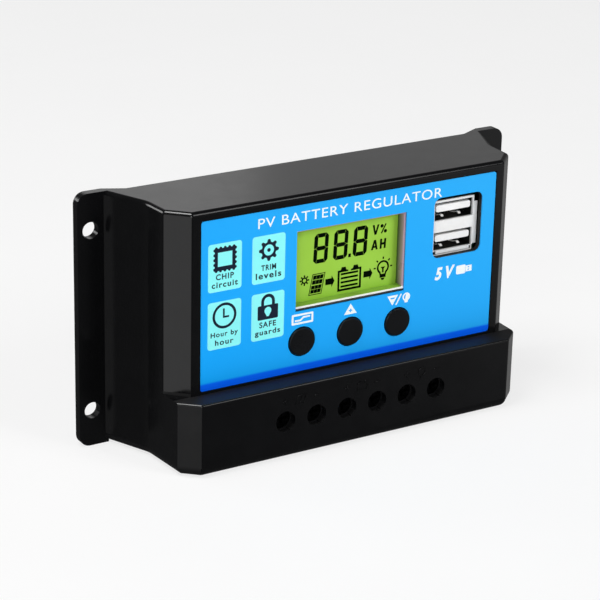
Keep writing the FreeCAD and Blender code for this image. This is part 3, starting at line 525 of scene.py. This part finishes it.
def gear_icon(x, z):
    teeth, root, shoulder, tip = 8, 2.2, 2.8, 2.95
    tooth = ((-15, root), (-8, shoulder), (-4, tip), (4, tip), (8, shoulder), (15, root))
    outline = [around(x, z, radius, 360 / teeth * k + offset)
               for k in range(teeth) for offset, radius in tooth]
    return [outline, circle(x, z, 1.5), circle(x, z, 0.5)]


def clock_icon(x, z):
    hands = [(-0.45, 1.95), (-0.45, -0.6), (1.35, -0.6), (1.35, -0.1), (0.05, -0.1), (0.05, 1.95)]
    return [circle(x, z, 3.5), circle(x, z, 2.8), moved(hands, x, z)]


def lock_icon(x, z):
    """A closed padlock with a keyhole."""
    body_top, outer, inner = z + 0.55, 2.05, 1.2
    shackle = ([(x + outer, body_top)] + arc(x, z + 1.55, outer, 0, 180)
               + [(x - outer, body_top), (x - inner, body_top)]
               + arc(x, z + 1.55, inner, 180, 0) + [(x + inner, body_top)])
    keyhole = arc(x, z - 1.0, 1.05, -40, 220) + [(x - 0.3, z - 2.55), (x + 0.3, z - 2.55)]
    return [shackle, rounded(x - 3.05, z - 3.35, x + 3.05, body_top, 0.35), keyhole]


# Pictogram and the distance of its centre below the top of the tile, then two lines of words with
# the half width, the foot above the bottom of the tile and the height of each.
TILES = (
    (chip_icon, 4.3, (("CHIP", 2.6, 3.15, 1.55), ("circuit", 3.8, 1.05, 1.5))),
    (gear_icon, 4.1, (("TRIM", 2.2, 3.4, 1.5), ("levels", 3.8, 1.2, 1.7))),
    (clock_icon, 4.0, (("Hour by", 4.0, 2.9, 1.75), ("hour", 2.7, 1.0, 1.5))),
    (lock_icon, 4.0, (("SAFE", 2.5, 3.4, 1.55), ("guards", 3.8, 0.95, 1.85))),
)


def tiles():
    """Four tiles in two rows of two."""
    for k, (icon, icon_drop, words) in enumerate(TILES):
        number = k + 1
        x0 = tile_left + TILE_STEP_X * (k % 2)
        z1 = tile_top - TILE_STEP_Z * (k // 2)
        x1, z0 = x0 + TILE_WIDTH, z1 - TILE_HEIGHT
        plate = shape_mesh("tile", [rounded(x0, z0, x1, z1, TILE_CORNER)], label_front, INK)
        piece("tile_%d" % number, [plate], tile_ink)
        middle = (x0 + x1) / 2
        prints = [shape_mesh("icon", icon(middle, z1 - icon_drop), tile_front, INK)]
        for word, half, foot, rise in words:
            prints.append(text_mesh("caption", word, tile_front, INK, middle - half, z0 + foot,
                                    middle + half, z0 + foot + rise, weight=0.2, spacing=1.2))
        piece("tile_%d_print" % number, prints, dark_ink)


# ---------------------------------------------------------------- label: marks beside the controls
BUTTON_PITCH = 15.0
MARK_RISE = 6.4              # centre of the marks above the middle of the buttons


def menu_mark(x, z):
    """A framed line that steps up."""
    step = [(-2.3, -0.6), (-0.5, -0.6), (0.4, 0.15), (2.3, 0.15), (2.3, 0.6), (0.2, 0.6),
            (-0.7, -0.15), (-2.3, -0.15)]
    return [rounded(x - 3.3, z - 1.45, x + 3.3, z + 1.45, 0.3),
            rectangle(x - 2.75, z - 0.9, x + 2.75, z + 0.9), moved(step, x, z)]


def up_mark(x, z):
    """A plus sign in a triangle that points up."""
    return [[(x - 2.0, z - 1.45), (x + 2.0, z - 1.45), (x, z + 1.45)],
            moved(cross(0.62 * 0.85, 0.2 * 0.85), x, z - 0.45)]


def down_mark(x, z):
    """A minus sign in a triangle that points down, a slash and a small lamp."""
    lamp_x, lamp_z = x + 2.75, z + 0.25
    return [[(x - 3.4, z + 1.35), (x, z + 1.35), (x - 1.7, z - 1.45)],
            rectangle(x - 2.35, z + 0.35, x - 1.05, z + 0.75),
            bar(x - 0.55, z - 1.5, x + 1.1, z + 1.4, 0.4),
            arc(lamp_x, lamp_z, 1.2, -60, 240)
            + [(lamp_x - 0.45, lamp_z - 1.6), (lamp_x + 0.45, lamp_z - 1.6)],
            arc(lamp_x, lamp_z, 0.8, 100, 240) + [(lamp_x - 0.25, lamp_z + 0.2)]]


def button_marks():
    low, high = node_box("up_button")
    z = (low.z + high.z) / 2 + MARK_RISE
    loops = menu_mark(0.1 - BUTTON_PITCH, z) + up_mark(0.0, z) + down_mark(BUTTON_PITCH, z)
    piece("button_marks", [shape_mesh("marks", loops, label_front, INK)], white_ink)


SUPPLY_MARK_HEIGHT = 41.0    # its middle above the foot of the case
SUPPLY_LEAN = 0.2


def supply_mark():
    """The voltage of the sockets and a small plug, under their opening."""
    x = (usb_low.x + usb_high.x) / 2 - 0.1
    z = shell_low.z + SUPPLY_MARK_HEIGHT
    words = text_mesh("volts", "5 V", label_front, INK, x - 6.4, z - 1.8, x - 0.6, z + 1.8,
                      weight=0.42)
    for v in words.vertices:
        v.co.x += (v.co.z - z * MM) * SUPPLY_LEAN
    plug = [rounded(x + 0.3, z - 1.25, x + 3.4, z + 1.25, 0.5),
            rectangle(x + 3.5, z - 0.85, x + 5.4, z + 0.85),
            rectangle(x + 4.1, z + 0.2, x + 4.6, z + 0.5),
            rectangle(x + 4.1, z - 0.5, x + 4.6, z - 0.2)]
    piece("supply_mark", [words, shape_mesh("plug", plug, label_front, INK)], white_ink)


# ---------------------------------------------------------------- display
LEAN = 0.045                 # of the figures and letters, to the right
glass_front = glass_low.y


def digit(x, z):
    """The seven segments of a figure, from its lower left corner."""
    wide, tall, pen, gap, cut = 4.4, 8.2, 1.12, 0.04, 0.85
    half = tall / 2

    def across(points):
        return [(wide - px, pz) for px, pz in points]

    def below(points):
        return [(px, tall - pz) for px, pz in points]

    side = [(0, half + gap + 0.1), (0, tall - cut), (cut - gap, tall), (pen - gap, tall - pen),
            (pen, tall - pen - gap), (pen, half + pen / 2 + gap), (pen * 0.45, half + gap)]
    top = [(cut + gap, tall), (wide - cut - gap, tall), (wide - pen - gap, tall - pen),
           (pen + gap, tall - pen)]
    middle = [(pen / 2 + gap, half), (pen + gap, half + pen / 2),
              (wide - pen - gap, half + pen / 2), (wide - pen / 2 - gap, half),
              (wide - pen - gap, half - pen / 2), (pen + gap, half - pen / 2)]
    loops = [top, below(top), middle, side, across(side), below(side), across(below(side))]
    return [leaning(moved(loop, x, z), z, LEAN) for loop in loops]


def arrow(x, z):
    return moved([(0, -0.85), (1.9, -0.85), (1.9, -1.6), (2.85, 0), (1.9, 1.6), (1.9, 0.85),
                  (0, 0.85)], x, z)


def panel_icon(x, z):
    """A leaning solar panel: a thin frame around four rows of three cells."""
    loops = [rectangle(x, z, x + 4.0, z + 5.8),
             rectangle(x + 0.22, z + 0.22, x + 3.78, z + 5.58)]
    for foot, height in ((0.5, 1.0), (1.62, 1.0), (2.9, 1.15), (4.25, 1.1)):
        for column in range(3):
            left = x + 0.42 + column * 1.07
            loops.append(rectangle(left, z + foot, left + 1.0, z + foot + height))
    return [leaning(loop, z, 0.2) for loop in loops]


def battery_icon(x, z):
    """A car battery outline with two posts and four level bars."""
    w, h, t = 7.4, 5.9, 0.6
    right_post = [(6.5, h), (6.2, h + 0.8), (5.0, h + 0.8), (4.7, h)]
    left_post = [(2.7, h), (2.4, h + 0.8), (1.2, h + 0.8), (0.9, h)]
    outline = ([(0, 0), (w, 0), (w, h)] + right_post
               + [(4.1, h - 0.2), (4.1, h - t), (w - t, h - t), (w - t, t), (t, t), (t, h - t),
                  (3.3, h - t), (3.3, h - 0.2)] + left_post + [(0, h)])
    levels = [rectangle(x + 1.0, z + 0.98 + k * 1.16, x + w - 1.0, z + 1.54 + k * 1.16)
              for k in range(4)]
    return [moved(outline, x, z)] + levels


def bulb_icon(x, z):
    """A lamp with its filament and five rays."""
    glass = (arc(x, z, 1.95, -55, 235)
             + moved([(-0.95, -2.3), (-0.95, -2.9), (0.95, -2.9), (0.95, -2.3)], x, z))
    hollow = arc(x, z, 1.42, -58, 238) + moved([(-0.55, -1.9), (0.55, -1.9)], x, z)
    filament = moved([(-0.7, 0.1), (0.7, 0.1), (0.25, -0.45), (0.25, -1.5), (-0.25, -1.5),
                      (-0.25, -0.45)], x, z)
    foot = arc(x, z - 3.05, 0.6, 180, 360, 6)
    rays = spokes(x, z, 2.3, 2.95, 0.42, (0, 45, 90, 135, 180))
    return [glass, hollow, filament, foot] + rays


def sun_icon(x, z):
    rays = spokes(x, z, 0.93, 1.45, 0.42, range(0, 360, 45))
    return [circle(x, z, 0.9, 24), circle(x, z, 0.5, 24)] + rays


def unit_letters(x, z):
    """The letters V and % over A and H, with thick strokes, from their lower left corner."""
    tall, wide, pen, row = 2.75, 2.15, 0.62, 4.2
    middle, slope = wide / 2, (wide - pen) / 2 / tall
    bar_z, hole_z = 0.55, 1.05
    vee = [(0, tall), (pen, tall), (middle, 0.9), (wide - pen, tall), (wide, tall),
           (middle + pen / 2, 0), (middle - pen / 2, 0)]
    percent = [circle(3.0, tall - 0.6, 0.5, 16), circle(4.2, 0.6, 0.5, 16),
               bar(2.95, 0.1, 4.25, tall - 0.1, 0.4)]
    peak = [(0, 0), (middle - pen / 2, tall), (middle + pen / 2, tall), (wide, 0), (wide - pen, 0),
            (wide - pen - slope * bar_z, bar_z), (pen + slope * bar_z, bar_z), (pen, 0)]
    hollow = [(pen + slope * hole_z, hole_z), (wide - pen - slope * hole_z, hole_z),
              (middle, tall - pen * 1.3)]
    right, low, high = 1.9, (tall - pen) / 2, (tall + pen) / 2
    aitch = [(0, 0), (pen, 0), (pen, low), (right - pen, low), (right - pen, 0), (right, 0),
             (right, tall), (right - pen, tall), (right - pen, high), (pen, high), (pen, tall),
             (0, tall)]
    upper = [moved(loop, 0, row) for loop in [vee] + percent]
    loops = upper + [peak, hollow, moved(aitch, 2.75, 0)]
    return [leaning(moved(loop, x, z), z, LEAN) for loop in loops]


FIGURES_FOOT = 49.0          # above the foot of the case
SYMBOLS_MIDDLE = 43.3
FIGURES_LEFT = 9.75          # first figure, left of the middle of the glass
FIGURE_PITCH = 6.12


def display():
    """Three figures with a decimal point and their units, over a row of symbols."""
    foot = shell_low.z + FIGURES_FOOT
    row = shell_low.z + SYMBOLS_MIDDLE
    left = (glass_low.x + glass_high.x) / 2 - FIGURES_LEFT
    loops = []
    for k in range(3):
        loops += digit(left + FIGURE_PITCH * k, foot)
    loops.append(rectangle(left + 10.95, foot + 0.1, left + 11.75, foot + 1.1))
    loops += sun_icon(left - 2.5, row + 1.6)
    loops += panel_icon(left - 1.2, row - 2.9)
    loops += [arrow(left + 4.0, row), arrow(left + 15.95, row + 0.1)]
    loops += battery_icon(left + 7.8, row - 3.35)
    loops += bulb_icon(left + 22.1, row + 1.2)
    loops += unit_letters(left + 18.05, foot + 0.85)
    piece("lcd_segments", [shape_mesh("segments", loops, glass_front, INK)], segment_ink)


# ---------------------------------------------------------------- raised marks over the screws
TERMINAL_MARK_HEIGHT = 16.2  # above the foot of the case
TERMINAL_MARK_RISE = 0.2


def pair_mark(pair, x, z):
    """The pictogram of one pair of terminals: panel, battery or lamp."""
    if pair == 0:
        return [leaning(rectangle(x - 1.6, z - 1.2, x + 1.2, z + 1.4), z, 0.25),
                leaning(rectangle(x - 1.35, z - 0.95, x - 0.3, z + 1.15), z, 0.25),
                leaning(rectangle(x - 0.1, z - 0.95, x + 0.95, z + 1.15), z, 0.25)]
    if pair == 1:
        return [rectangle(x - 1.7, z - 1.2, x + 1.7, z + 1.0),
                rectangle(x - 1.4, z - 0.9, x + 1.4, z + 0.7),
                rectangle(x - 1.2, z + 1.05, x - 0.5, z + 1.4),
                rectangle(x + 0.5, z + 1.05, x + 1.2, z + 1.4)]
    return [circle(x, z + 0.4, 1.25, 24), circle(x, z + 0.4, 0.95, 24),
            rectangle(x - 0.5, z - 1.6, x + 0.5, z - 0.95)]


def terminal_marks():
    """A pictogram over each pair of terminals, between the signs of their poles."""
    loops = []
    z = shell_low.z + TERMINAL_MARK_HEIGHT
    for pair in range(3):
        first, last = (node_box("terminal_screw_%d" % (2 * pair + k)) for k in (1, 2))
        plus_x = (first[0].x + first[1].x) / 2
        minus_x = (last[0].x + last[1].x) / 2
        loops.append(rectangle(minus_x - 0.9, z + 0.1, minus_x + 0.9, z + 0.45))
        loops.append(moved(cross(0.9, 0.18), plus_x, z + 0.3))
        loops += pair_mark(pair, (plus_x + minus_x) / 2, z)
    piece("terminal_marks", [shape_mesh("raised", loops, shell_low.y, TERMINAL_MARK_RISE)],
          surfaces["case_black"])


# ---------------------------------------------------------------- usb details
def strip(points, x, width, thickness):
    """A bent strip of sheet, from its side view points (y, z), centred on x."""
    work = bmesh.new()
    rows = []
    for k, (y, z) in enumerate(points):
        back = Vector(points[max(k - 1, 0)])
        ahead = Vector(points[min(k + 1, len(points) - 1)])
        along = (ahead - back).normalized()
        normal = Vector((-along.y, along.x)) * thickness / 2
        rows.append([
            work.verts.new(((x + dx) * MM, (y + normal.x * s) * MM, (z + normal.y * s) * MM))
            for dx, s in ((-width / 2, 1), (width / 2, 1), (width / 2, -1), (-width / 2, -1))])
    sleeve(work, zip(rows, rows[1:]))
    work.faces.new(rows[0])
    work.faces.new(reversed(rows[-1]))
    return finished(work, bpy.data.meshes.new("strip"))


PORT_OFFSET = 4.2            # middle of a port, above or below the middle of the pair
PORT_SHIFT = 0.45            # the middle of the pair, above the middle of the shell
PORT_FLOOR = 2.56            # below the middle of a port
SPRING_OFFSET = 2.8
SPRING_WIDTH = 0.75
SPRING_THICKNESS = 0.2
# Side view of a spring, from its root to its tip: behind the mouth of the port, above its floor.
SPRING_BENDS = ((5.5, 0.12), (3.4, 0.5), (2.3, 0.95), (1.8, 0.98), (1.3, 0.6))


def usb_springs():
    """The sprung fingers in the floor of each port, which hold a plug."""
    x = (usb_low.x + usb_high.x) / 2
    middle = (usb_low.z + usb_high.z) / 2 + PORT_SHIFT
    meshes = []
    for z in (middle + PORT_OFFSET, middle - PORT_OFFSET):
        bends = moved(SPRING_BENDS, usb_low.y, z - PORT_FLOOR)
        for side in (-1, 1):
            meshes.append(strip(bends, x + side * SPRING_OFFSET, SPRING_WIDTH, SPRING_THICKNESS))
    piece("usb_springs", meshes, spring_painted_glint)


# ---------------------------------------------------------------- display window
def ring(outline_low, outline_high, y_front, y_back, wall, lean):
    """A four-sided frame with mitred corners. Its inner front edge is cut back by lean."""
    (x0, z0), (x1, z1) = outline_low, outline_high
    work = bmesh.new()

    def loop(inset, y):
        return [work.verts.new((x * MM, y * MM, z * MM)) for x, z in
                rectangle(x0 + inset, z0 + inset, x1 - inset, z1 - inset)]

    loops = [loop(0, y_front), loop(wall - lean, y_front), loop(wall, y_front + lean),
             loop(wall, y_back), loop(0, y_back)]
    sleeve(work, zip(loops, loops[1:] + loops[:1]))
    return finished(work, bpy.data.meshes.new("ring"))


def window_frame():
    """The slim satin liner of the display window, from the glass to just under the label, which
    carries the painted highlight and painted reflection of the window's walls.
    """
    gap, wall, lean = 0.03, 0.4, 0.3
    mesh = ring([at + gap for at in window_low], [at - gap for at in window_high],
                label_high.y + 0.05, glass_front - gap, wall, lean)
    piece("painted_light_liner", [mesh], painted_light_liner)


title()
tiles()
window_frame()
button_marks()
supply_mark()
display()
terminal_marks()
usb_springs()


# ---------------------------------------------------------------- stage
def floor():
    """White paper under the case, which doesn't show in its gloss."""
    mesh = bpy.data.meshes.new("floor")
    reach = 3.0                  # metres
    z = shell_low.z * MM
    corners = [(-reach, -reach, z), (reach, -reach, z), (reach, reach, z), (-reach, reach, z)]
    mesh.from_pydata(corners, [], [(0, 1, 2, 3)])
    plane = bpy.data.objects.new("floor", mesh)
    scene.collection.objects.link(plane)
    n = Nodes("floor_paper")
    n.link(n.mix(n.noise(40.0), (0.22, 0.22, 0.22), (0.24, 0.24, 0.24)), "Base Color")
    n.shader.inputs["Roughness"].default_value = 0.9
    n.shader.inputs["Specular IOR Level"].default_value = 0.0
    n.shader.inputs["Emission Color"].default_value = (1, 1, 1, 1)
    n.shader.inputs["Emission Strength"].default_value = 0.75
    mesh.materials.append(n.material)
    plane.visible_glossy = False


def softbox(name, place, width, height, radiance, glossy=True):
    """A rectangular lamp aimed at the case. Its face has the given brightness, where 1 is white."""
    light = bpy.data.lights.new(name, "AREA")
    light.shape = "RECTANGLE"
    light.size, light.size_y = width, height
    light.energy = radiance * math.pi * width * height
    lamp = bpy.data.objects.new(name, light)
    lamp.location = place
    lamp.rotation_euler = (-Vector(place)).to_track_quat("-Z", "Y").to_euler()
    lamp.visible_camera = False
    lamp.visible_glossy = glossy
    scene.collection.objects.link(lamp)


# Soft bright patches of the studio's walls: direction, inner and outer radius in degrees, and
# brightness.
WALLS = (
    ((-0.79, -0.50, -0.26), 12, 27, 0.85),
    ((0.84, 0.42, -0.30), 10, 35, 0.2),
    ((0.72, -0.68, -0.12), 5, 20, 0.55),
    ((0.3, 0.9, 0.3), 20, 50, 0.06),
)
WALL_DIM = 0.06              # brightness between the patches
BACKDROP = 0.93              # brightness of the backdrop to the eye


def studio():
    """White to the eye, dim to the object, apart from the bright patches of its walls."""
    world = bpy.data.worlds.new("studio")
    scene.world = world
    world.use_nodes = True
    tree = world.node_tree
    way = add_node(tree, "TexCoord").outputs["Generated"]
    total = WALL_DIM
    for direction, inner, outer, bright in WALLS:
        facing = add_node(tree, "VectorMath", {0: way, 1: Vector(direction).normalized()},
                          operation="DOT_PRODUCT").outputs["Value"]
        patch = add_node(tree, "MapRange", {
            "Value": facing, "From Min": math.cos(math.radians(outer)),
            "From Max": math.cos(math.radians(inner)), "To Max": bright},
            interpolation_type="SMOOTHSTEP").outputs["Result"]
        total = add_node(tree, "Math", {0: total, 1: patch}, operation="ADD").outputs[0]
    dim = tree.nodes["Background"]
    dim.inputs["Color"].default_value = (1, 1, 1, 1)
    tree.links.new(total, dim.inputs["Strength"])
    seen = add_node(tree, "Background", {"Color": (BACKDROP, BACKDROP, BACKDROP, 1)})
    to_eye = add_node(tree, "LightPath").outputs["Is Camera Ray"]
    either = add_node(tree, "MixShader", {0: to_eye, 1: dim.outputs[0], 2: seen.outputs[0]})
    tree.links.new(either.outputs[0], tree.nodes["World Output"].inputs["Surface"])


def lights():
    """Lamps by place in metres, width, height and brightness. The two key lamps share a place: only
    the weaker one shows in the gloss of the case."""
    softbox("key", (0.45, -0.8, 0.6), 0.4, 0.4, 3.0)
    softbox("key_soft", (0.45, -0.8, 0.6), 0.4, 0.4, 7.5, glossy=False)
    softbox("fill", (-0.7, -0.8, 0.3), 0.4, 0.5, 4.6)
    softbox("top", (-0.3, -0.05, 0.7), 0.3, 0.3, 11.0)
    softbox("back", (0.45, 1.0, 0.4), 0.7, 0.5, 0.33)
    softbox("back_left", (0.33, 1.05, 0.4), 0.5, 0.5, 0.36)
    softbox("rear", (-0.7, 0.8, 0.35), 0.4, 0.4, 4.0)
    studio()


CAMERA_AZIMUTH, CAMERA_ELEVATION, CAMERA_ROLL = -32.07, 20.65, 1.34     # degrees
CAMERA_TARGET = (-7.24, -15.0, 0.23)
CAMERA_DISTANCE = 611.28
CAMERA_LENS, CAMERA_SENSOR = 137.3, 36


def camera():
    """Placed from a fit of its angle, distance and lens to the proportions of the case."""
    azimuth, elevation = math.radians(CAMERA_AZIMUTH), math.radians(CAMERA_ELEVATION)
    roll = math.radians(CAMERA_ROLL)
    away = Vector((math.sin(azimuth) * math.cos(elevation),
                   -math.cos(azimuth) * math.cos(elevation), math.sin(elevation)))
    across = Vector((0, 0, 1)).cross(away).normalized()
    up = away.cross(across)
    right = across * math.cos(roll) + up * math.sin(roll)
    over = up * math.cos(roll) - across * math.sin(roll)
    place = (Vector(CAMERA_TARGET) + away * CAMERA_DISTANCE) * MM
    data = bpy.data.cameras.new("camera")
    data.lens = CAMERA_LENS
    data.sensor_width = CAMERA_SENSOR
    eye = bpy.data.objects.new("camera", data)
    eye.matrix_world = Matrix(((right.x, over.x, away.x, place.x),
                               (right.y, over.y, away.y, place.y),
                               (right.z, over.z, away.z, place.z), (0, 0, 0, 1)))
    scene.collection.objects.link(eye)
    scene.camera = eye


floor()
lights()
camera()
scene.view_settings.view_transform = "Standard"
